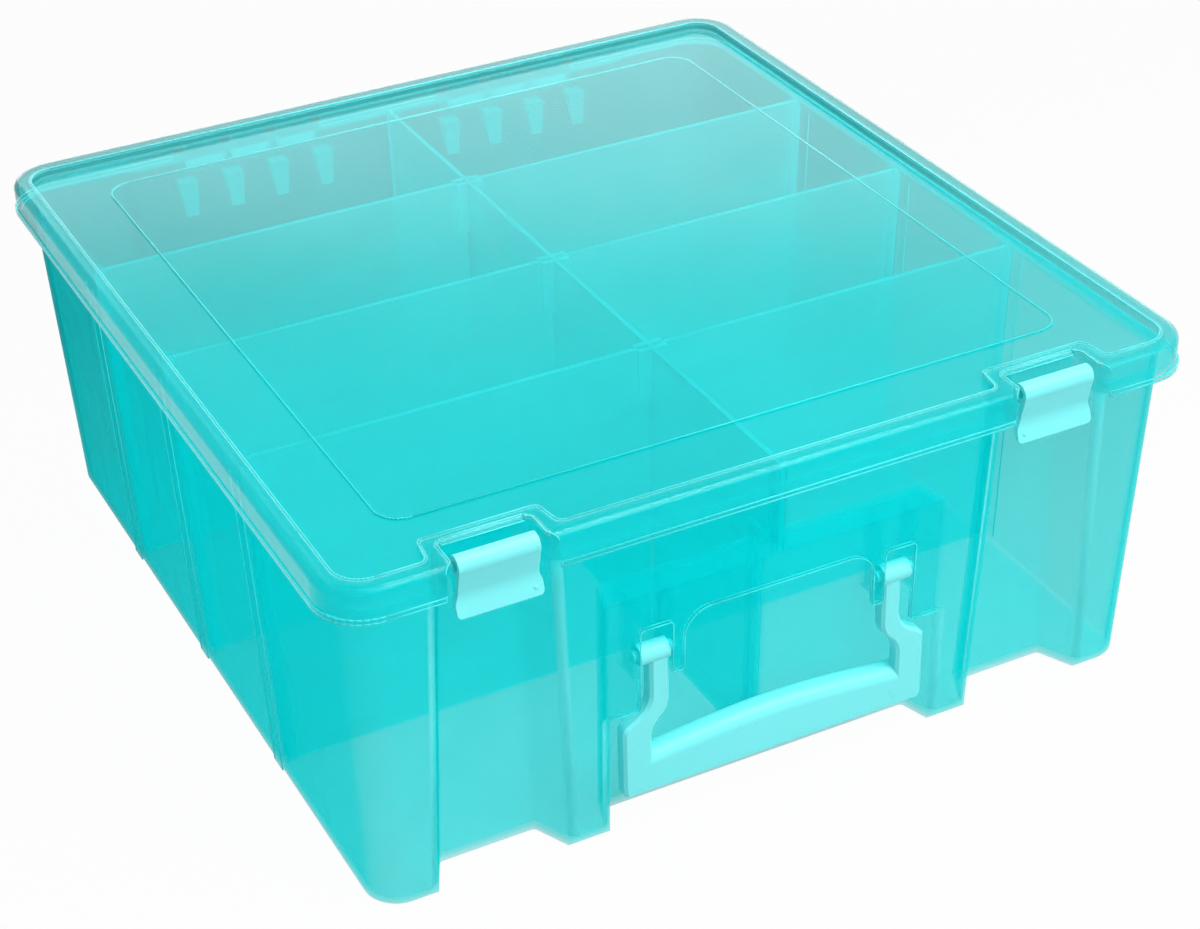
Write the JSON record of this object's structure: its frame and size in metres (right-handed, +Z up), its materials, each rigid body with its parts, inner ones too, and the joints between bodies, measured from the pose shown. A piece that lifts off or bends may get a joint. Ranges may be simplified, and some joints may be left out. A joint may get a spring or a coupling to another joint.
{
  "type": "craft storage box",
  "caption": "Flat translucent plastic craft case: drafted tub with a corrugated front, hinged lid with snap latches, fold-out bail handle and lift-out dividers.",
  "frame": {"origin": "on the floor, under the middle of the lid's outline", "axes": "+Z up, +Y from the front (latches and handle) to the rear hinge, +X to the right seen from the front"},
  "size_m": [0.367, 0.387, 0.154],
  "materials": {
    "clear_plastic": "translucent aqua polypropylene, satin gloss",
    "divider_plastic": "translucent aqua polypropylene, satin",
    "trim_plastic": "pale aqua polypropylene, nearly opaque, satin gloss"
  },
  "bodies": {
    "base": {"base_tub": "clear_plastic", "centre_divider": "divider_plastic", "cross_divider_left_rear": "divider_plastic", "cross_divider_left_middle": "divider_plastic", "cross_divider_left_front": "divider_plastic", "cross_divider_right_rear": "divider_plastic", "cross_divider_right_middle": "divider_plastic", "cross_divider_right_front": "divider_plastic"},
    "lid": {"lid": "clear_plastic"},
    "latch_left": {"latch_left": "trim_plastic"},
    "latch_right": {"latch_right": "trim_plastic"},
    "handle": {"carry_handle": "trim_plastic"}
  },
  "joints": [
    {"name": "lid_hinge", "type": "hinge", "parent": "base", "child": "lid", "pos_m": [0, 0.18982, 0.1376], "axis": [-1, 0, 0], "range_deg": [0, 115]},
    {"name": "latch_left_hinge", "type": "hinge", "parent": "lid", "child": "latch_left", "pos_m": [-0.1184, -0.1862, 0.1488], "axis": [-1, 0, 0], "range_deg": [0, 120]},
    {"name": "latch_right_hinge", "type": "hinge", "parent": "lid", "child": "latch_right", "pos_m": [0.1184, -0.1862, 0.1488], "axis": [-1, 0, 0], "range_deg": [0, 120]},
    {"name": "handle_hinge", "type": "hinge", "parent": "base", "child": "handle", "pos_m": [0, -0.17858, 0.079], "axis": [-1, 0, 0], "range_deg": [0, 100]}
  ]
}
